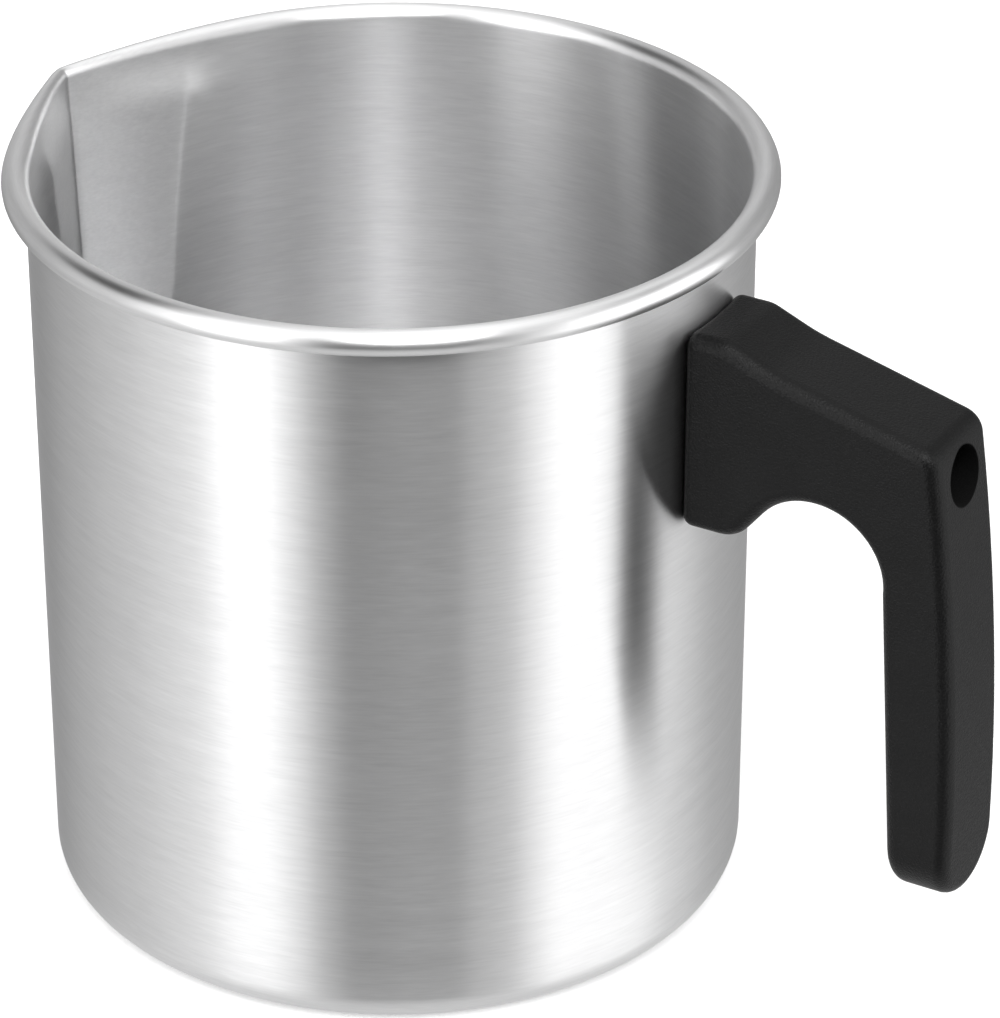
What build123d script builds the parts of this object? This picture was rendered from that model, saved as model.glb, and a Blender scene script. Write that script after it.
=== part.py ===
"""Candle melting pot: a spun aluminium pot with a rolled rim and a pressed pouring spout, and a moulded
handle that slips over a welded bracket and is drawn up against the wall by one long screw.

Millimetres. The origin is the centre of the base, +Z is up along the pot's axis, +X runs out through the
handle. Every piece is a separate solid in its own STEP file.
"""

import os
from math import atan2, cos, degrees, pi, radians, sin, sqrt

from build123d import *

os.makedirs("parts", exist_ok=True)

# Pot
POT_HEIGHT = 127.8
RIM_RADIUS = 62.0  # outside of the rolled rim
WALL_TOP_RADIUS = 58.3  # outside of the wall at the rim
WALL_BASE_RADIUS = 57.8  # and at the base
BASE_CORNER_RADIUS = 5.6
SHEET = 0.8  # thickness of the aluminium
BEAD_HEIGHT = 4.1
SEAM = 0.08  # the bead stands this far out from the wall's inner face

# Pouring spout: a V pressed outwards, whose crease leans out a little and ends in a toe on the wall
SPOUT_AZIMUTH = 175.7
FLANK_ANGLE = 30.6  # between a flank and the direction square to the spout
FOLD_BLEND = 8.0  # degrees of wall that the fold beside each flank is blended over
FOLD_PULL = 0.85  # nearer 1 is a sharper fold
CREASE_REACH = 65.4  # from the axis to the inside of the crease, at the rim
CREASE_LEAN = 0.046  # how far the crease moves out for each mm up
CREASE_RADIUS = 1.3  # on the inside
LIP_START = 116.0  # the flanks start to open out towards the rim here
TOE_TOP = 84.0  # the crease is straight from here up
TOE_END = 56.0  # and has run out into the wall here
TOE_STATIONS = (60.0, 65.0, 74.0)
PLAIN_HEIGHT = 52.0  # the wall is plain and round from here down
PLAIN_FLANK_ANGLE = 3.0
PLAIN_BLEND_ANGLE = 11.0
LIP_FLANK_ANGLE = 22.0  # as FLANK_ANGLE, at the rim
LIP_BLEND_ANGLE = 33.0  # where the flank has blended into the round wall, at the rim
LIP_DIP = 1.3  # the rolled rim dips this far at the tip of the spout
LIP_BEAD_WIDTH = 2.45  # and is pinched to this width
LIP_BEAD_HEIGHT = 3.5  # and this height
LIP_TIP_RADIUS = 3.6  # of the rolled rim's centre line, at the tip
LIP_BEAD_STATIONS = 5  # on each flank, and on the tip

# Handle
HANDLE_WIDTH = 18.4
HANDLE_TOP = 115.0
HANDLE_FOOT = 80.7  # underside of the block against the wall
BLOCK_START_X = 50.0  # inside the wall's outer face, before the block is cut back to it
SHOULDER_X = 64.5  # where the level top ends
ARM_DIP = (72.4, 111.8)  # the top slopes less steeply from here out
ARM_END = (101.0, 104.7)
ARCH_CENTRE = (80.5, 78.7)  # finger arch under the arm
ARCH_RADIUS = 11.9
ARCH_RAMP = 51.0  # slope of the ramp from the block up into the arch
GRIP_BOTTOM = 23.4
GRIP_LEAN = 3.2
GRIP_BOW = (106.0, 42.0)  # the grip's outer face bows out to here
GRIP_END_X = 105.8
SHOULDER_RADIUS = 6.0
ARM_DIP_RADIUS = 30.0
ARM_CORNER_RADIUS = 4.2
RAMP_FOOT_RADIUS = 5.5
EDGE_RADIUS = 2.4
WALL_EDGE_RADIUS = 1.6  # where the block meets the wall

# Channel for the handle screw, square to the wall at mid-height of the block
SCREW_Z = 97.9
ACCESS_RADIUS = 4.9
ACCESS_FLOOR_X = 88.0
SHANK_HOLE_RADIUS = 2.75
POCKET_X = 70.5
POCKET_WIDTH = 12.6
POCKET_HEIGHT = 21.0
POCKET_CORNER_RADIUS = 1.5

# Bracket: a bridge of flat bar, its feet welded to the wall, with a nut welded behind its web
BRACKET_WIDTH = 11.6
BRACKET_STOCK = 1.5
BRACKET_HEIGHT = 20.0
BRIDGE_HEIGHT = 14.0
BRIDGE_X = 70.0  # outer face of the web
FOOT_X = 59.8  # outer face of the feet
BRIDGE_BEND_RADIUS = 2.0
NUT_ACROSS_FLATS = 8.0
NUT_THICKNESS = 4.0
NUT_CORNER_RADIUS = 4.85  # the hexagon's corners are rounded off to this, from the nut's middle
THREAD_RADIUS = 2.5
THREAD_CLEARANCE = 0.05

# Screw and the washers under its head
WASHER_RADIUS = 4.5
WASHER_THICKNESS = 1.0
WASHER_BORE_RADIUS = 2.65
SPRING_RADIUS = 4.4
SPRING_STOCK = 1.2
SPRING_GAP = 0.8
HEAD_RADIUS = 4.4
HEAD_HEIGHT = 3.4
HEAD_EDGE_RADIUS = 1.2
SCREW_LENGTH = 30.0
SCREW_END_CHAMFER = 0.6
RECESS_LENGTH = 5.0
RECESS_WIDTH = 1.1
RECESS_DEPTH = 2.0

RIM_CENTRE_Z = POT_HEIGHT - BEAD_HEIGHT / 2


def mix(low, high, share):
    """A value that runs from low to high as share runs from 0 to 1."""
    return low + (high - low) * share


def wall_radius(height):
    """Outside radius of the tapered wall at a height."""
    return mix(WALL_BASE_RADIUS, WALL_TOP_RADIUS, height / POT_HEIGHT)


def spout_plane(height):
    """A level plane whose X axis points out through the spout."""
    azimuth = radians(SPOUT_AZIMUTH)
    return Plane(origin=(0, 0, height), x_dir=(cos(azimuth), sin(azimuth), 0), z_dir=(0, 0, 1))


def across_screw(x):
    """The plane square to the handle screw at a distance from the pot's axis."""
    return Plane(origin=(x, 0, SCREW_Z), z_dir=(1, 0, 0))


def toe_climb(height):
    """0 where the spout's toe starts on the wall, 1 from where its crease is straight."""
    return min(max((height - TOE_END) / (TOE_TOP - TOE_END), 0), 1)


def crease_reach(height):
    """Distance from the axis to the inside of the crease."""
    straight = CREASE_REACH - CREASE_LEAN * (RIM_CENTRE_Z - max(height, TOE_TOP))
    return mix(wall_radius(height) - SHEET, straight, sin(toe_climb(height) * pi / 2))


def draw_flanks(radius, reach, tip_radius, flank_angle, blend_angle):
    """Draws a V whose tip is on +X and whose flanks flow into a circle about the origin."""
    tip = CenterArc((reach - tip_radius, 0), tip_radius, -flank_angle, 2 * flank_angle)
    start = tip @ 1
    end = Vector(radius, 0).rotate(Axis.Z, blend_angle)
    pull = (end - start).length / 3
    along_flank = Vector(0, pull).rotate(Axis.Z, flank_angle)
    along_wall = Vector(0, pull).rotate(Axis.Z, blend_angle)
    flank = Bezier(start, start + along_flank, end - along_wall, end)
    mirror(flank, about=Plane.XZ)


def draw_folded_flanks(radius, reach, tip_radius):
    """Draws a V whose tip is on +X, with a soft fold between each straight flank and the circle."""
    tip = CenterArc((reach - tip_radius, 0), tip_radius, -FLANK_ANGLE, 2 * FLANK_ANGLE)
    start = tip @ 1
    along_flank = Vector(0, 1).rotate(Axis.Z, FLANK_ANGLE)
    inward = -start.dot(along_flank)
    length = inward - sqrt(inward**2 - start.dot(start) + radius**2)
    fold = start + along_flank * length
    blend_angle = degrees(atan2(fold.Y, fold.X)) + FOLD_BLEND
    end = Vector(radius, 0).rotate(Axis.Z, blend_angle)
    along_wall = Vector(0, 1).rotate(Axis.Z, blend_angle)
    flank_pull = along_flank * (length * FOLD_PULL)
    wall_pull = along_wall * (radius * radians(FOLD_BLEND) * FOLD_PULL)
    flank = Bezier(start, start + flank_pull, end - wall_pull, end)
    mirror(flank, about=Plane.XZ)
    return blend_angle


def draw_wall(height, inset):
    """Draws the wall's closed outline at a height, this far in from its outer face."""
    radius = wall_radius(height) - inset
    outward = SHEET - inset
    if height <= TOE_END:
        blend_angle = PLAIN_BLEND_ANGLE
        draw_flanks(radius, radius, radius, PLAIN_FLANK_ANGLE, blend_angle)
    elif height < RIM_CENTRE_Z:
        tip_radius = CREASE_RADIUS / sqrt(toe_climb(height)) + outward
        blend_angle = draw_folded_flanks(radius, crease_reach(height) + outward, tip_radius)
    else:
        blend_angle = LIP_BLEND_ANGLE
        reach = CREASE_REACH + outward
        draw_flanks(radius, reach, CREASE_RADIUS + outward, LIP_FLANK_ANGLE, blend_angle)
    CenterArc((0, 0), radius, blend_angle, 360 - 2 * blend_angle)


# The pot: its outer face, then its inner face, then the rolled rim
wall_stations = (PLAIN_HEIGHT, TOE_END, *TOE_STATIONS, TOE_TOP, LIP_START, RIM_CENTRE_Z)
rim_inner_radius = wall_radius(RIM_CENTRE_Z) - SHEET
bead_half_width = (RIM_RADIUS - rim_inner_radius - SEAM) / 2
bead_radius = RIM_RADIUS - bead_half_width
lip_start_reach = bead_radius * cos(radians(LIP_BLEND_ANGLE))
lip_end_reach = CREASE_REACH + SEAM + LIP_BEAD_WIDTH / 2
bead_start = Vector(1, 0).rotate(Axis.Z, SPOUT_AZIMUTH + LIP_BLEND_ANGLE)


def draw_bead(half_width, half_height):
    """Draws the rolled rim's oval section on the current sketch."""
    Circle(half_height)
    scale(by=(half_width / half_height, 1, 1))


with BuildLine() as inner_lip:
    draw_flanks(rim_inner_radius, CREASE_REACH, CREASE_RADIUS, LIP_FLANK_ANGLE, LIP_BLEND_ANGLE)
with BuildLine() as bead_lip:
    draw_flanks(bead_radius, lip_end_reach, LIP_TIP_RADIUS, LIP_FLANK_ANGLE, LIP_BLEND_ANGLE)

with BuildPart() as pot_body:
    for inset, mode in ((0, Mode.ADD), (SHEET, Mode.SUBTRACT)):
        with BuildSketch(Plane.XZ) as round_part:
            with BuildLine():
                Polyline(
                    (0, PLAIN_HEIGHT),
                    (0, inset),
                    (wall_radius(0) - inset, inset),
                    (wall_radius(PLAIN_HEIGHT) - inset, PLAIN_HEIGHT),
                    close=True,
                )
            make_face()
            base_corner = round_part.vertices().group_by(Axis.Y)[0].sort_by(Axis.X)[-1]
            fillet(base_corner, BASE_CORNER_RADIUS - inset)
        revolve(axis=Axis.Z, mode=mode)
        for height in wall_stations:
            with BuildSketch(spout_plane(height)):
                with BuildLine():
                    draw_wall(height, inset)
                make_face()
        loft(ruled=True, mode=mode)

    along_spout = Plane(origin=(0, 0, RIM_CENTRE_Z), x_dir=spout_plane(0).x_dir, z_dir=-spout_plane(0).y_dir)
    with BuildSketch(along_spout):
        with BuildLine():
            dip = Bezier(
                (lip_start_reach, 0),
                ((lip_start_reach + lip_end_reach) / 2, 0),
                (lip_end_reach, -LIP_DIP),
            )
            Polyline(dip @ 1, (lip_end_reach, BEAD_HEIGHT), (lip_start_reach, BEAD_HEIGHT), dip @ 0)
        make_face()
    extrude(amount=RIM_RADIUS, both=True, mode=Mode.SUBTRACT)

    around_rim = Plane(
        origin=bead_start * bead_radius + Vector(0, 0, RIM_CENTRE_Z),
        x_dir=bead_start,
        z_dir=bead_start.rotate(Axis.Z, -90),
    )
    with BuildSketch(around_rim):
        draw_bead(bead_half_width, BEAD_HEIGHT / 2)
    revolve(axis=Axis.Z, revolution_arc=360 - 2 * LIP_BLEND_ANGLE)

    for stretch in bead_lip.edges():
        for station in range(LIP_BEAD_STATIONS + 1):
            centre = stretch @ (station / LIP_BEAD_STATIONS)
            along = (stretch % (station / LIP_BEAD_STATIONS)).rotate(Axis.Z, SPOUT_AZIMUTH)
            out_share = (centre.X - lip_start_reach) / (lip_end_reach - lip_start_reach)
            sunk = spout_plane(RIM_CENTRE_Z - LIP_DIP * out_share**2)
            across_bead = Plane(
                origin=sunk.from_local_coords(centre), x_dir=along.rotate(Axis.Z, -90), z_dir=along
            )
            half_width = min(inner_lip.wire().distance_to(centre) - SEAM, bead_half_width)
            with BuildSketch(across_bead):
                draw_bead(half_width, mix(BEAD_HEIGHT, LIP_BEAD_HEIGHT, out_share) / 2)
        loft()

pot_body.part.label = "pot_body"
export_step(pot_body.part, "parts/pot_body.step")

# The wall's outer face as a solid, to cut back what is fitted against it
with BuildPart() as wall_form:
    Cone(WALL_BASE_RADIUS, WALL_TOP_RADIUS, POT_HEIGHT, align=(Align.CENTER, Align.CENTER, Align.MIN))

# The handle: a block against the wall, an arm and a round-ended grip in one moulding
with BuildPart() as handle:
    with BuildSketch(Plane.XZ) as side_view:
        with BuildLine():
            arch = CenterArc(ARCH_CENTRE, ARCH_RADIUS, -GRIP_LEAN, 90 + ARCH_RAMP + GRIP_LEAN)
            ramp_length = ((arch @ 1).Y - HANDLE_FOOT) / sin(radians(ARCH_RAMP))
            ramp = PolarLine(arch @ 1, ramp_length, ARCH_RAMP + 180)
            Polyline(
                ramp @ 1,
                (BLOCK_START_X, HANDLE_FOOT),
                (BLOCK_START_X, HANDLE_TOP),
                (SHOULDER_X, HANDLE_TOP),
                ARM_DIP,
                ARM_END,
            )
            grip_face = ThreePointArc(ARM_END, GRIP_BOW, (GRIP_END_X, GRIP_BOTTOM))
            grip_length = ((arch @ 0).Y - GRIP_BOTTOM) / cos(radians(GRIP_LEAN))
            grip_back = PolarLine(arch @ 0, grip_length, GRIP_LEAN - 90)
            Line(grip_back @ 1, grip_face @ 1)
        make_face()
        for corner, radius in (
            ((SHOULDER_X, HANDLE_TOP), SHOULDER_RADIUS),
            (ARM_DIP, ARM_DIP_RADIUS),
            (ARM_END, ARM_CORNER_RADIUS),
            (ramp @ 1, RAMP_FOOT_RADIUS),
        ):
            fillet(side_view.vertices().sort_by_distance(corner)[0], radius)
    extrude(amount=HANDLE_WIDTH / 2, both=True)
    with BuildSketch(Plane.YZ):
        with Locations((0, GRIP_BOTTOM + HANDLE_WIDTH / 2)):
            Circle(HANDLE_WIDTH / 2)
            Rectangle(HANDLE_WIDTH, POT_HEIGHT, align=(Align.CENTER, Align.MIN))
    extrude(amount=2 * RIM_RADIUS, mode=Mode.INTERSECT)
    along_handle = handle.edges().filter_by(Axis.Y, reverse=True).group_by(Axis.X)[1:]
    fillet([edge for group in along_handle for edge in group], EDGE_RADIUS)
    add(wall_form.part, mode=Mode.SUBTRACT)
    fillet(handle.faces().filter_by(GeomType.CONE).edges(), WALL_EDGE_RADIUS)
    with BuildSketch(across_screw(BLOCK_START_X)):
        RectangleRounded(POCKET_HEIGHT, POCKET_WIDTH, POCKET_CORNER_RADIUS)
    extrude(amount=POCKET_X - BLOCK_START_X, mode=Mode.SUBTRACT)
    with BuildSketch(across_screw(POCKET_X)):
        Circle(SHANK_HOLE_RADIUS)
    extrude(amount=RIM_RADIUS, mode=Mode.SUBTRACT)
    with BuildSketch(across_screw(ACCESS_FLOOR_X)):
        Circle(ACCESS_RADIUS)
    extrude(amount=RIM_RADIUS, mode=Mode.SUBTRACT)

handle.part.label = "handle"
export_step(handle.part, "parts/handle.step")

# The bracket: flat bar bent into a bridge, its feet saddled to the wall
with BuildPart() as handle_bracket:
    with BuildSketch(Plane.XZ) as strip:
        with Locations((BLOCK_START_X, SCREW_Z)):
            Rectangle(FOOT_X - BLOCK_START_X, BRACKET_HEIGHT, align=(Align.MIN, Align.CENTER))
            Rectangle(BRIDGE_X - BLOCK_START_X, BRIDGE_HEIGHT, align=(Align.MIN, Align.CENTER))
        fillet(strip.vertices().group_by(Axis.X)[-1], BRIDGE_BEND_RADIUS)
        with Locations((BLOCK_START_X, SCREW_Z)):
            Rectangle(
                BRIDGE_X - BRACKET_STOCK - BLOCK_START_X,
                BRIDGE_HEIGHT - 2 * BRACKET_STOCK,
                align=(Align.MIN, Align.CENTER),
                mode=Mode.SUBTRACT,
            )
    extrude(amount=BRACKET_WIDTH / 2, both=True)
    add(wall_form.part, mode=Mode.SUBTRACT)
    with BuildSketch(across_screw(BRIDGE_X)):
        Circle(SHANK_HOLE_RADIUS)
    extrude(amount=-BRACKET_STOCK, mode=Mode.SUBTRACT)

handle_bracket.part.label = "handle_bracket"
export_step(handle_bracket.part, "parts/handle_bracket.step")

# The nut welded behind the web of the bracket
with BuildPart() as bracket_nut:
    with BuildSketch(across_screw(BRIDGE_X - BRACKET_STOCK)):
        RegularPolygon(NUT_ACROSS_FLATS / 2, 6, major_radius=False)
        Circle(THREAD_RADIUS + THREAD_CLEARANCE, mode=Mode.SUBTRACT)
    extrude(amount=-NUT_THICKNESS)
    with Locations((BRIDGE_X - BRACKET_STOCK - NUT_THICKNESS / 2, 0, SCREW_Z)):
        Sphere(NUT_CORNER_RADIUS, mode=Mode.INTERSECT)

bracket_nut.part.label = "bracket_nut"
export_step(bracket_nut.part, "parts/bracket_nut.step")

# The flat washer on the floor of the channel
with BuildPart() as flat_washer:
    with BuildSketch(across_screw(ACCESS_FLOOR_X)):
        Circle(WASHER_RADIUS)
        Circle(WASHER_BORE_RADIUS, mode=Mode.SUBTRACT)
    extrude(amount=WASHER_THICKNESS)

flat_washer.part.label = "flat_washer"
export_step(flat_washer.part, "parts/flat_washer.step")

# The split spring washer on top of it
with BuildPart() as spring_washer:
    with BuildSketch(across_screw(ACCESS_FLOOR_X + WASHER_THICKNESS)):
        Circle(SPRING_RADIUS)
        Circle(WASHER_BORE_RADIUS, mode=Mode.SUBTRACT)
        Rectangle(SPRING_GAP, SPRING_RADIUS, align=(Align.CENTER, Align.MIN), mode=Mode.SUBTRACT)
    extrude(amount=SPRING_STOCK)

spring_washer.part.label = "spring_washer"
export_step(spring_washer.part, "parts/spring_washer.step")

# The handle screw: pan head with a cross recess, its thread modelled plain
head_seat_x = ACCESS_FLOOR_X + WASHER_THICKNESS + SPRING_STOCK
with BuildPart() as handle_screw:
    with BuildSketch(across_screw(head_seat_x)):
        Circle(HEAD_RADIUS)
    extrude(amount=HEAD_HEIGHT)
    fillet(handle_screw.edges().sort_by(Axis.X)[-1], HEAD_EDGE_RADIUS)
    with BuildSketch(across_screw(head_seat_x)):
        Circle(THREAD_RADIUS)
    extrude(amount=-SCREW_LENGTH)
    chamfer(handle_screw.edges().sort_by(Axis.X)[0], SCREW_END_CHAMFER)
    with BuildSketch(across_screw(head_seat_x + HEAD_HEIGHT)):
        Rectangle(RECESS_LENGTH, RECESS_WIDTH)
        Rectangle(RECESS_WIDTH, RECESS_LENGTH)
    extrude(amount=-RECESS_DEPTH, mode=Mode.SUBTRACT)

handle_screw.part.label = "handle_screw"
export_step(handle_screw.part, "parts/handle_screw.step")
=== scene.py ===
"""Candle melting pot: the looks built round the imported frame.

Metres, in the frame's own axes: the origin is the centre of the base, +Z is up and +X runs out through the
handle. The spun shell and the handle moulding are rebuilt here as smooth meshes. The bracket and the screw
parts are the CAD nodes with their own materials.
"""

import math

import bmesh
import bpy
import numpy as np
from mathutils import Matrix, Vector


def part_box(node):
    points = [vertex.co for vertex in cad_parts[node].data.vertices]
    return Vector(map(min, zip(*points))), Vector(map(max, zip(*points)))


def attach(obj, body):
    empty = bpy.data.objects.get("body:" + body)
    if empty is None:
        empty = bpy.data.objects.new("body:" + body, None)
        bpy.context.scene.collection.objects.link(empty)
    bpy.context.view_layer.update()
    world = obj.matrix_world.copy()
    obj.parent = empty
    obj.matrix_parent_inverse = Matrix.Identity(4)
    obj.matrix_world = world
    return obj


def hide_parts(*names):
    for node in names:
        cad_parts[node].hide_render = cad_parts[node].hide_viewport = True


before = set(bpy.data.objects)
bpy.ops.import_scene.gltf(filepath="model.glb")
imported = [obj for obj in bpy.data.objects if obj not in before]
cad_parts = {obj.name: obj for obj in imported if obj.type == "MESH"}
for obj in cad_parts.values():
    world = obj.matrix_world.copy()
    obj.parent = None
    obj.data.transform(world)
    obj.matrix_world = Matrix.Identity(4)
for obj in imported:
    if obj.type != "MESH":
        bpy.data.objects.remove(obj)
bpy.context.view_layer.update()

# Sizes read from the frame
POT_LOW, POT_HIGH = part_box("pot_body")
POT_HEIGHT = POT_HIGH.z
RIM_RADIUS = (POT_HIGH.y - POT_LOW.y) / 2

# Spun shell, as in the CAD part
SHEET = 0.0008
WALL_TOP_RADIUS = 0.0583  # outside, at the rim
WALL_BASE_RADIUS = 0.0578
BASE_CORNER_RADIUS = 0.0056
BEAD_HEIGHT = 0.0041
RIM_CENTRE_Z = POT_HEIGHT - BEAD_HEIGHT / 2

OUTSIDE, INSIDE, RIM = range(3)  # the shell's finishes, which differ in gloss and brushing; the inside is also set a little darker in tone as painted shade

# Pouring spout
SPOUT_AZIMUTH = math.radians(175.7)
FLANK_ANGLE = math.radians(30.6)
FOLD_SOFTNESS = 0.00022
CREASE_REACH = 0.0654
CREASE_LEAN = 0.046
CREASE_SOFTNESS = 0.00045
TOE_TOP = 0.084
TOE_END = 0.056
LIP_START = 0.116
LIP_FLANK_ANGLE = math.radians(22.0)
LIP_BLEND_ANGLE = math.radians(33.0)
LIP_CREASE_RADIUS = 0.0013
LIP_DIP = 0.0013
LIP_BEAD_WIDTH = 0.00245
LIP_BEAD_HEIGHT = 0.0035
LIP_TIP_RADIUS = 0.0036

# Handle moulding
WELD_DISTANCE = 0.000002
SHARP_ANGLE = math.radians(32)  # between faces, above which an edge stays sharp

# Camera, at the photograph's viewing angle
CAMERA_AZIMUTH = math.radians(-59.0)
CAMERA_OUT = 0.76682
CAMERA_HEIGHT = 0.49535
CAMERA_TILT = math.radians(60.611)
CAMERA_TURN = math.radians(29.711)
LENS = 188.73

# Spun aluminium. A line count is in a metre across the lines, and a stretch says how often they change along
# their length: the higher, the shorter the lines. Depths are in metres.
FINE_LINES = 2600
FINE_STRETCH = 12.0
COARSE_LINES = 600
COARSE_STRETCH = 2.4
COARSE_SHARE = 0.4
LINE_TONE = 0.075
LINE_ROUGHNESS = 0.05
LINE_DEPTH = 0.000005
PATCH_SCALE = 30.0  # of the faint uneven tone
PATCH_TONE = 0.015
AXIS_CLEARANCE = 0.0005  # keeps the direction round the axis defined at the axis

# Black plastic
GRAIN_SCALE = 2600.0
GRAIN_DEPTH = 0.00014
MOTTLE_SCALE = 160.0
SCREW_HEIGHT = (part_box("handle_screw")[0].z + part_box("handle_screw")[1].z) / 2
ACCESS_RADIUS = 0.0049  # of the screw's hole, which is duller inside and darkened there by painted shade
ACCESS_EDGE = 0.0002
# Painted shade: the share of the plastic's colour that is kept inside the screw's hole
HOLE_PAINTED_SHADE = 0.15
ACCESS_ROUGHNESS = 0.95

# Steel
CLOUD_SCALE = 400.0
STEEL_GRAIN_SCALE = 3000.0
STEEL_GRAIN_DEPTH = 0.00001

# Studio
FLOOR_HALF = 6.0
FLOOR_GLOW = 0.25
OVERHEAD = 1.25
UNDERFOOT = 0.7
# Brightness of the tent's upright panels by azimuth, in degrees from the camera's side, anticlockwise from
# above: mostly what the outside of the wall shows, then the rolled rim, then the inside of the wall
LOW_PANELS = (
    (-180, 0.45), (-165, 0.34), (-150, 0.26), (-120, 0.42), (-98, 0.56), (-79, 0.71), (-63, 0.85),
    (-52, 0.88), (-42, 0.88), (-33, 0.88), (-24, 0.34), (-14, 0.00), (0, 0.00), (14, 0.00), (20, 0.08),
    (24, 0.38), (36, 0.54), (44, 1.10), (52, 1.64), (66, 1.34), (80, 1.32), (88, 1.10), (97, 0.56),
    (110, 0.46), (130, 0.40), (152, 0.34), (165, 0.37), (180, 0.45),
)
LEVEL_PANELS = (
    (-180, 0.62), (-150, 0.42), (-120, 0.50), (-90, 0.72), (-62, 1.30), (-50, 3.60), (-40, 3.60),
    (-30, 0.95), (-16, 0.10), (0, 0.00), (20, 0.10), (45, 0.90), (62, 1.90), (95, 1.90), (115, 0.50),
    (150, 0.34), (180, 0.62),
)
HIGH_PANELS = (
    (-180, 1.15), (-172, 0.80), (-162, 0.10), (-120, 0.00), (-103, 0.00), (-92, 0.50), (-82, 1.80),
    (-73, 1.40), (-60, 1.30), (-42, 2.20), (-28, 0.95), (-20, 1.10), (-10, 5.20), (0, 10.5), (10, 11.5),
    (20, 7.00), (36, 0.80), (60, 0.75), (80, 0.75), (100, 0.40), (130, 0.40), (150, 0.90), (165, 1.15),
    (180, 1.15),
)
# Each band of the tent fades in from the one below between two heights, as shares of the tent's radius
BANDS = (
    (-0.80, -0.42, LOW_PANELS),
    (-0.34, -0.14, LEVEL_PANELS),
    (0.52, 0.68, HIGH_PANELS),
    (0.80, 0.94, ((0, OVERHEAD), (180, OVERHEAD))),
)


def smoothstep(t):
    """Eases from 0 to 1 as t goes from 0 to 1, and stays there on either side."""
    t = np.clip(t, 0, 1)
    return t * t * (3 - 2 * t)


def smooth_max(a, b, softness):
    """The larger of two, with a rounded changeover."""
    return (a + b + np.sqrt((a - b) ** 2 + softness**2)) / 2


def plain_radius(height):
    """Inside radius of the tapered round wall."""
    taper = (WALL_TOP_RADIUS - WALL_BASE_RADIUS) / POT_HEIGHT
    return WALL_BASE_RADIUS + taper * height - SHEET


def lip_outline(angle, radius, reach, tip_radius):
    """Polar outline of the opened lip: a rounded tip, and convex flanks that flow into a circle."""
    turn = np.linspace(0, LIP_FLANK_ANGLE, 40)
    tip = np.stack([reach - tip_radius + tip_radius * np.cos(turn), tip_radius * np.sin(turn)], 1)
    start = tip[-1]
    end = radius * np.array([math.cos(LIP_BLEND_ANGLE), math.sin(LIP_BLEND_ANGLE)])
    pull = np.linalg.norm(end - start) / 3
    along_flank = pull * np.array([-math.sin(LIP_FLANK_ANGLE), math.cos(LIP_FLANK_ANGLE)])
    along_wall = pull * np.array([-math.sin(LIP_BLEND_ANGLE), math.cos(LIP_BLEND_ANGLE)])
    t = np.linspace(0, 1, 600)[1:, None]
    flank = (
        (1 - t) ** 3 * start
        + 3 * (1 - t) ** 2 * t * (start + along_flank)
        + 3 * (1 - t) * t**2 * (end - along_wall)
        + t**3 * end
    )
    outline = np.concatenate([tip, flank])
    return np.interp(np.abs(angle), np.arctan2(outline[:, 1], outline[:, 0]), np.hypot(*outline.T))


def inner_radius(angle, height):
    """Inside radius of the wall at an angle from the spout's crease and a height."""
    angle = (angle + math.pi) % (2 * math.pi) - math.pi
    plain = plain_radius(height)
    climb = np.clip((height - TOE_END) / (TOE_TOP - TOE_END), 0.001, 1)
    straight = CREASE_REACH - CREASE_LEAN * (RIM_CENTRE_Z - np.maximum(height, TOE_TOP))
    reach = plain + (straight - plain) * smoothstep(climb)
    bend = CREASE_SOFTNESS / np.sqrt(climb) / reach
    apex = reach * np.cos(FLANK_ANGLE - np.minimum(bend, FLANK_ANGLE)) / math.cos(FLANK_ANGLE)
    turned = np.minimum(np.hypot(angle, bend), FLANK_ANGLE)
    flank = apex * math.cos(FLANK_ANGLE) / np.cos(FLANK_ANGLE - turned)
    folded = smooth_max(plain, flank, FOLD_SOFTNESS)
    lip = lip_outline(angle, plain_radius(RIM_CENTRE_Z), CREASE_REACH, LIP_CREASE_RADIUS)
    opened = smoothstep((height - LIP_START) / (RIM_CENTRE_Z - LIP_START))
    return folded + (lip - folded) * opened


def outward(angle, height):
    """Radial and tangential share of the wall's outward normal, level with the base."""
    step = 0.0005
    slope = (inner_radius(angle + step, height) - inner_radius(angle - step, height)) / (2 * step)
    radius = inner_radius(angle, height)
    length = np.hypot(radius, slope)
    return radius / length, -slope / length


def wall_point(angle, height, out):
    """Points of the wall, moved outwards from its inner face along its normal."""
    radius = inner_radius(angle, height)
    radial, tangential = outward(angle, height)
    azimuth = angle + SPOUT_AZIMUTH
    x = (radius + out * radial) * np.cos(azimuth) - out * tangential * np.sin(azimuth)
    y = (radius + out * radial) * np.sin(azimuth) + out * tangential * np.cos(azimuth)
    return x, y


def column_angles():
    """Angles round the shell, closest together at the crease and at the folds beside it."""
    half = np.concatenate(
        [
            np.arange(0, 2, 0.12),
            np.arange(2, 13, 0.4),
            np.arange(13, 25, 0.3),
            np.arange(25, 41, 0.6),
            np.linspace(41, 180, 140),
        ]
    )
    return np.radians(np.concatenate([half, -half[-2:0:-1]]))


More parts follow.
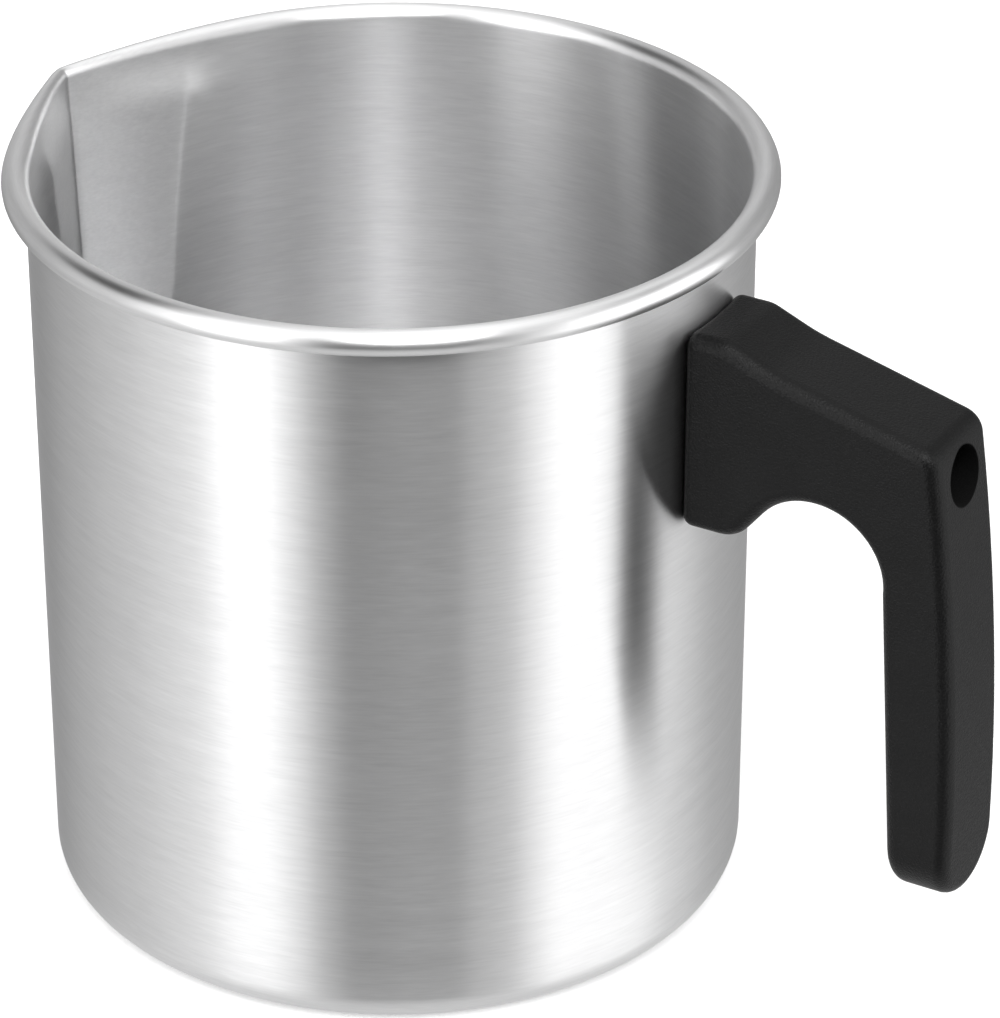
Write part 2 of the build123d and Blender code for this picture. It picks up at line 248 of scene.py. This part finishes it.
def pot_rows():
    """Rings of the shell's surface, from the floor inside, over the rim, to the middle underneath.

    Also gives the number of the first ring of the rolled rim, and of the last, where it meets the wall.
    """
    angle = column_angles()
    ones = np.ones_like(angle)
    inner_corner = BASE_CORNER_RADIUS - SHEET
    floor_share = np.array([0.06, 0.2, 0.36, 0.52, 0.68, 0.82, 0.93])
    rows = []

    def add_round(radius, z):
        azimuth = angle + SPOUT_AZIMUTH
        rows.append(np.stack([radius * np.cos(azimuth), radius * np.sin(azimuth), z * ones], 1))

    def corner(radius, turns, base_z, out):
        side = plain_radius(BASE_CORNER_RADIUS) + out
        for turn in turns:
            add_round(side - radius * (1 - math.sin(turn)), base_z + radius * (1 - math.cos(turn)))

    inner_floor = plain_radius(BASE_CORNER_RADIUS) - inner_corner
    outer_floor = plain_radius(BASE_CORNER_RADIUS) + SHEET - BASE_CORNER_RADIUS
    quarter = np.linspace(0, math.pi / 2, 11)
    for share in floor_share:
        add_round(share * inner_floor, SHEET)
    corner(inner_corner, quarter, SHEET, 0)

    rim_z, half_width, half_height = bead_shape(angle)
    climb = np.concatenate(
        [
            np.linspace(0, 0.41, 11)[1:],
            np.linspace(0.41, 0.66, 22)[1:],
            np.linspace(0.66, 0.91, 9)[1:],
            np.linspace(0.91, 1, 22)[1:],
        ]
    )
    for share in climb[:-1]:
        height = BASE_CORNER_RADIUS + share * (rim_z - BASE_CORNER_RADIUS)
        rows.append(np.stack([*wall_point(angle, height, 0 * ones), height], 1))

    join = 2 * math.pi - np.arccos(1 - SHEET / half_width)
    rim_row = len(rows)
    for share in np.linspace(0, 1, 33):
        turn = share * join
        out = half_width * (1 - np.cos(turn))
        z = rim_z + half_height * np.sin(turn)
        rows.append(np.stack([*wall_point(angle, rim_z, out), z], 1))
    seam_row = len(rows) - 1

    join_z = rim_z + half_height * np.sin(join)
    for share in climb[::-1][1:]:
        height = BASE_CORNER_RADIUS + share * (join_z - BASE_CORNER_RADIUS)
        rows.append(np.stack([*wall_point(angle, height, SHEET * ones), height], 1))
    corner(BASE_CORNER_RADIUS, quarter[::-1], 0, SHEET)
    for share in floor_share[::-1]:
        add_round(share * outer_floor, 0)
    return np.array(rows), rim_row, seam_row


def bead_shape(angle):
    """Height of the rolled rim's centre, and its half width and half height, round the rim."""
    inner = inner_radius(angle, RIM_CENTRE_Z * np.ones_like(angle))
    full = (RIM_RADIUS - plain_radius(RIM_CENTRE_Z)) / 2
    reach = CREASE_REACH + LIP_BEAD_WIDTH / 2
    centre = lip_outline(angle, plain_radius(RIM_CENTRE_Z) + full, reach, LIP_TIP_RADIUS)
    radial, _ = outward(angle, RIM_CENTRE_Z * np.ones_like(angle))
    half_width = np.minimum((centre - inner) * radial, full)
    start = (plain_radius(RIM_CENTRE_Z) + full) * math.cos(LIP_BLEND_ANGLE)
    out_share = np.clip((centre * np.cos(angle) - start) / (reach - start), 0, 1)
    half_height = (BEAD_HEIGHT + (LIP_BEAD_HEIGHT - BEAD_HEIGHT) * out_share) / 2
    return RIM_CENTRE_Z - LIP_DIP * out_share**2, half_width, half_height


def new_piece(name, mesh):
    """Makes an object of a mesh and puts it in the scene, riding with the pot."""
    piece = bpy.data.objects.new(name, mesh)
    bpy.context.scene.collection.objects.link(piece)
    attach(piece, "root")
    return piece


def make_shell():
    """The spun shell as one closed surface: rings of quads and two small fans on the axis."""
    rows, rim_row, seam_row = pot_rows()
    count, columns = rows.shape[:2]
    points = [tuple(p) for p in rows.reshape(-1, 3)] + [(0, 0, SHEET), (0, 0, 0)]
    faces = []
    for i in range(count - 1):
        for j in range(columns):
            k = (j + 1) % columns
            faces.append((i * columns + j, i * columns + k, (i + 1) * columns + k, (i + 1) * columns + j))
    last = (count - 1) * columns
    for j in range(columns):
        k = (j + 1) % columns
        faces.append((count * columns, k, j))
        faces.append((count * columns + 1, last + j, last + k))
    mesh = bpy.data.meshes.new("pot_shell")
    mesh.from_pydata(points, [], faces)
    mesh.shade_smooth()
    finish = [INSIDE] * (rim_row * columns) + [RIM] * ((seam_row - rim_row) * columns)
    finish += [OUTSIDE] * ((count - 1 - seam_row) * columns) + [INSIDE, OUTSIDE] * columns
    mesh.attributes.new("material_index", "INT", "FACE").data.foreach_set("value", finish)
    sharp = mesh.attributes.new("sharp_edge", "BOOLEAN", "EDGE")
    seam = range(seam_row * columns, (seam_row + 1) * columns)
    for edge in mesh.edges:
        if edge.vertices[0] in seam and edge.vertices[1] in seam:
            sharp.data[edge.index].value = True
    bm = bmesh.new()
    bm.from_mesh(mesh)
    bmesh.ops.recalc_face_normals(bm, faces=bm.faces)
    bm.to_mesh(mesh)
    bm.free()
    shell = new_piece("pot_shell", mesh)
    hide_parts("pot_body")
    return shell


def make_moulding():
    """The handle's moulding, with its faces welded into one skin that is smooth but for its sharp edges."""
    bm = bmesh.new()
    bm.from_mesh(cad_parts["handle"].data)
    bmesh.ops.remove_doubles(bm, verts=bm.verts, dist=WELD_DISTANCE)
    bmesh.ops.dissolve_degenerate(bm, edges=bm.edges, dist=WELD_DISTANCE / 2)
    for face in bm.faces:
        face.smooth = True
    for edge in bm.edges:
        edge.smooth = len(edge.link_faces) == 2 and edge.calc_face_angle(0) < SHARP_ANGLE
    mesh = bpy.data.meshes.new("handle_moulding")
    bm.to_mesh(mesh)
    bm.free()
    moulding = new_piece("handle_moulding", mesh)
    weighted = moulding.modifiers.new("even_shading", "WEIGHTED_NORMAL")
    weighted.keep_sharp = True
    weighted.weight = 100
    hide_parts("handle")
    return moulding


class Graph:
    """A node tree, with short calls for the nodes used here."""

    def __init__(self, tree):
        self.tree = tree

    def add(self, kind, **settings):
        node = self.tree.nodes.new(kind)
        for key, value in settings.items():
            setattr(node, key, value)
        return node

    def link(self, value, socket):
        """Feeds a socket from another node's socket, or sets it to a number."""
        if isinstance(value, bpy.types.NodeSocket):
            self.tree.links.new(value, socket)
        else:
            socket.default_value = value

    def math(self, operation, *values):
        node = self.add("ShaderNodeMath", operation=operation)
        for value, socket in zip(values, node.inputs):
            self.link(value, socket)
        return node.outputs[0]

    def length(self, a, b):
        """Length of a vector in a plane."""
        squares = [self.math("MULTIPLY", value, value) for value in (a, b)]
        return self.math("SQRT", self.math("ADD", *squares))

    def split(self, vector):
        node = self.add("ShaderNodeSeparateXYZ")
        self.link(vector, node.inputs[0])
        return node.outputs

    def combine(self, x, y, z):
        node = self.add("ShaderNodeCombineXYZ")
        for value, socket in zip((x, y, z), node.inputs):
            self.link(value, socket)
        return node.outputs[0]

    def noise(self, vector, scale, detail=2.0, roughness=0.5, w=None):
        node = self.add("ShaderNodeTexNoise", noise_dimensions="3D" if w is None else "4D")
        self.link(vector, node.inputs["Vector"])
        node.inputs["Scale"].default_value = scale
        node.inputs["Detail"].default_value = detail
        node.inputs["Roughness"].default_value = roughness
        if w is not None:
            self.link(w, node.inputs["W"])
        return node.outputs["Fac"]

    def ranged(self, value, low, high, from_low=0.25, from_high=0.75, easing="LINEAR"):
        """Maps the middle of a noise's range, or another given range, to low and high."""
        node = self.add("ShaderNodeMapRange", interpolation_type=easing)
        for key, number in (
            ("Value", value),
            ("From Min", from_low),
            ("From Max", from_high),
            ("To Min", low),
            ("To Max", high),
        ):
            self.link(number, node.inputs[key])
        return node.outputs["Result"]

    def grey(self, value, tint=(1, 1, 1)):
        node = self.add("ShaderNodeCombineColor")
        for channel, share in zip(node.inputs, tint):
            self.link(self.math("MULTIPLY", value, share), channel)
        return node.outputs[0]

    def bump(self, height, distance, strength=1.0):
        node = self.add("ShaderNodeBump")
        self.link(height, node.inputs["Height"])
        node.inputs["Distance"].default_value = distance
        node.inputs["Strength"].default_value = strength
        return node.outputs["Normal"]

    def blend(self, share, below, above):
        """One number fading into another as share goes from 0 to 1."""
        return self.math("MULTIPLY_ADD", share, self.math("SUBTRACT", above, below), below)

    def ramp(self, share, stops):
        """A soft curve through (place, value) stops, read at share."""
        node = self.add("ShaderNodeValToRGB")
        node.color_ramp.interpolation = "EASE"
        top = max(value for _, value in stops)
        elements = node.color_ramp.elements
        while len(elements) < len(stops):
            elements.new(0.5)
        for element, (place, value) in zip(elements, stops):
            element.position = place
            element.color = (value / top, value / top, value / top, 1)
        self.link(share, node.inputs["Fac"])
        return self.math("MULTIPLY", node.outputs["Color"], top)


def new_material(name):
    """A node material, its graph, its shader's inputs and the place on the piece in metres."""
    material = bpy.data.materials.new(name)
    material.use_nodes = True
    graph = Graph(material.node_tree)
    place = graph.add("ShaderNodeTexCoord").outputs["Object"]
    return material, graph, material.node_tree.nodes["Principled BSDF"].inputs, place


def aluminium(name, tone, roughness, anisotropy):
    """Spun aluminium, brushed round the axis: its lines run level round the wall and in rings on the base."""
    material, graph, shader, place = new_material(name)
    x, y, z = graph.split(place)
    radius = graph.length(x, y)
    safe = graph.math("MAXIMUM", radius, AXIS_CLEARANCE)
    around_x = graph.math("DIVIDE", x, safe)
    around_y = graph.math("DIVIDE", y, safe)

    def streaks(lines, stretch, detail):
        """Noise drawn out along the brushing."""
        vector = graph.combine(
            graph.math("MULTIPLY", around_x, stretch),
            graph.math("MULTIPLY", around_y, stretch),
            graph.math("MULTIPLY", z, lines),
        )
        return graph.noise(vector, 1.0, detail, 0.6, w=graph.math("MULTIPLY", radius, lines))

    fine = streaks(FINE_LINES, FINE_STRETCH, 2.0)
    coarse = streaks(COARSE_LINES, COARSE_STRETCH, 3.0)
    patches = graph.noise(place, PATCH_SCALE, 3.0)
    lines = graph.blend(COARSE_SHARE, fine, coarse)
    shade = graph.math(
        "MULTIPLY",
        graph.ranged(lines, tone * (1 - LINE_TONE), tone * (1 + LINE_TONE)),
        graph.ranged(patches, 1 - PATCH_TONE, 1 + PATCH_TONE),
    )
    graph.link(graph.grey(shade, (1.0, 1.0, 1.004)), shader["Base Color"])
    gloss = graph.ranged(lines, roughness * (1 - LINE_ROUGHNESS), roughness * (1 + LINE_ROUGHNESS))
    graph.link(gloss, shader["Roughness"])
    shader["Metallic"].default_value = 1.0
    shader["Anisotropic"].default_value = anisotropy
    shader["Anisotropic Rotation"].default_value = 0.25
    graph.link(graph.combine(graph.math("MULTIPLY", around_y, -1.0), around_x, 0.0), shader["Tangent"])
    graph.link(graph.bump(lines, LINE_DEPTH, 0.5), shader["Normal"])
    return material


def black_plastic():
    """Black moulded plastic with a fine, even grain, duller and darkened by painted shade inside the screw's
    hole.
    """
    material, graph, shader, place = new_material("black_plastic")
    grain = graph.noise(place, GRAIN_SCALE, 2.0, 0.6)
    mottle = graph.noise(place, MOTTLE_SCALE, 3.0)
    _, y, z = graph.split(place)
    up = graph.math("SUBTRACT", z, SCREW_HEIGHT)
    off_axis = graph.length(y, up)
    # Painted shade: inside the screw's hole the plastic's colour is darkened, and its gloss dulled
    painted_hole_shade = graph.ranged(off_axis, HOLE_PAINTED_SHADE, 1.0, ACCESS_RADIUS, ACCESS_RADIUS + ACCESS_EDGE)
    black = graph.math("MULTIPLY", graph.ranged(mottle, 0.0026, 0.0036), painted_hole_shade)
    graph.link(graph.grey(black, (1.0, 1.0, 1.03)), shader["Base Color"])
    gloss = graph.blend(painted_hole_shade, ACCESS_ROUGHNESS, graph.ranged(grain, 0.32, 0.44))
    graph.link(gloss, shader["Roughness"])
    shader["Specular IOR Level"].default_value = 0.2
    graph.link(graph.bump(grain, GRAIN_DEPTH), shader["Normal"])
    return material


def bright_steel(name, tone, tint, roughness):
    """Plated or rolled steel, a little uneven in tone and gloss."""
    material, graph, shader, place = new_material(name)
    cloud = graph.noise(place, CLOUD_SCALE, 4.0)
    grain = graph.noise(place, STEEL_GRAIN_SCALE, 2.0)
    graph.link(graph.grey(graph.ranged(cloud, tone * 0.9, tone * 1.06), tint), shader["Base Color"])
    graph.link(graph.ranged(grain, roughness - 0.06, roughness + 0.08), shader["Roughness"])
    shader["Metallic"].default_value = 1.0
    graph.link(graph.bump(grain, STEEL_GRAIN_DEPTH, 0.4), shader["Normal"])
    return material


def pale_floor():
    """Matt white sweep."""
    material, graph, shader, place = new_material("pale_floor")
    graph.link(graph.grey(graph.ranged(graph.noise(place, 3.0), 0.90, 0.92)), shader["Base Color"])
    shader["Roughness"].default_value = 0.95
    shader["Emission Color"].default_value = (1, 1, 1, 1)
    shader["Emission Strength"].default_value = FLOOR_GLOW
    return material


def dress(piece, *materials):
    """Gives a piece its materials, in the order of its faces' material numbers."""
    piece.data.materials.clear()
    for material in materials:
        piece.data.materials.append(material)


def make_floor():
    """A wide level floor that lights and shades the pot but doesn't show in its polish."""
    mesh = bpy.data.meshes.new("floor")
    corners = [(x * FLOOR_HALF, y * FLOOR_HALF, 0) for x, y in ((-1, -1), (1, -1), (1, 1), (-1, 1))]
    mesh.from_pydata(corners, [], [(0, 1, 2, 3)])
    floor = bpy.data.objects.new("floor", mesh)
    bpy.context.scene.collection.objects.link(floor)
    floor.visible_glossy = False
    dress(floor, pale_floor())


def make_studio():
    """A tent of soft light round the pot: upright panels of different brightness, and a bright top."""
    world = bpy.data.worlds.new("studio")
    bpy.context.scene.world = world
    world.use_nodes = True
    graph = Graph(world.node_tree)
    turned = graph.add("ShaderNodeVectorRotate", rotation_type="Z_AXIS")
    graph.link(graph.add("ShaderNodeTexCoord").outputs["Generated"], turned.inputs["Vector"])
    turned.inputs["Angle"].default_value = -CAMERA_AZIMUTH
    x, y, z = graph.split(turned.outputs[0])
    turn = graph.math("MULTIPLY_ADD", graph.math("ARCTAN2", y, x), 1 / (2 * math.pi), 0.5)
    light = UNDERFOOT
    for low, high, panels in BANDS:
        share = graph.ranged(z, 0.0, 1.0, low, high, "SMOOTHSTEP")
        stops = [((azimuth + 180) / 360, brightness) for azimuth, brightness in panels]
        light = graph.blend(share, light, graph.ramp(turn, stops))
    seen = graph.add("ShaderNodeLightPath").outputs["Is Camera Ray"]
    background = world.node_tree.nodes["Background"].inputs
    background["Color"].default_value = (1, 1, 1, 1)
    graph.link(graph.blend(seen, light, 1.0), background["Strength"])


def make_camera():
    """The camera, at the photograph's viewing angle."""
    data = bpy.data.cameras.new("camera")
    data.lens = LENS
    data.clip_start = 0.01
    data.clip_end = 50
    camera = bpy.data.objects.new("camera", data)
    bpy.context.scene.collection.objects.link(camera)
    bpy.context.scene.camera = camera
    out_x, out_y = math.cos(CAMERA_AZIMUTH), math.sin(CAMERA_AZIMUTH)
    camera.location = (CAMERA_OUT * out_x, CAMERA_OUT * out_y, CAMERA_HEIGHT)
    camera.rotation_euler = (CAMERA_TILT, 0, CAMERA_TURN)


shell = make_shell()
moulding = make_moulding()
dress(
    shell,
    aluminium("aluminium_outside", 0.86, 0.29, 0.90),
    # The inside's slightly lower tone is painted shade; its roughness and brushing are its own finish
    aluminium("aluminium_inside", 0.83, 0.45, 1.00),
    aluminium("aluminium_rim", 0.86, 0.24, 0.40),
)
dress(moulding, black_plastic())
zinc = bright_steel("zinc_plated", 0.60, (1.0, 1.0, 1.03), 0.34)
steel = bright_steel("mild_steel", 0.50, (1.0, 0.985, 0.95), 0.42)
for node, material in (
    ("handle_bracket", steel),
    ("bracket_nut", zinc),
    ("flat_washer", zinc),
    ("spring_washer", zinc),
    ("handle_screw", zinc),
):
    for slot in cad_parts[node].material_slots:
        slot.material = material
make_floor()
make_studio()
make_camera()
bpy.context.scene.view_settings.view_transform = "Standard"
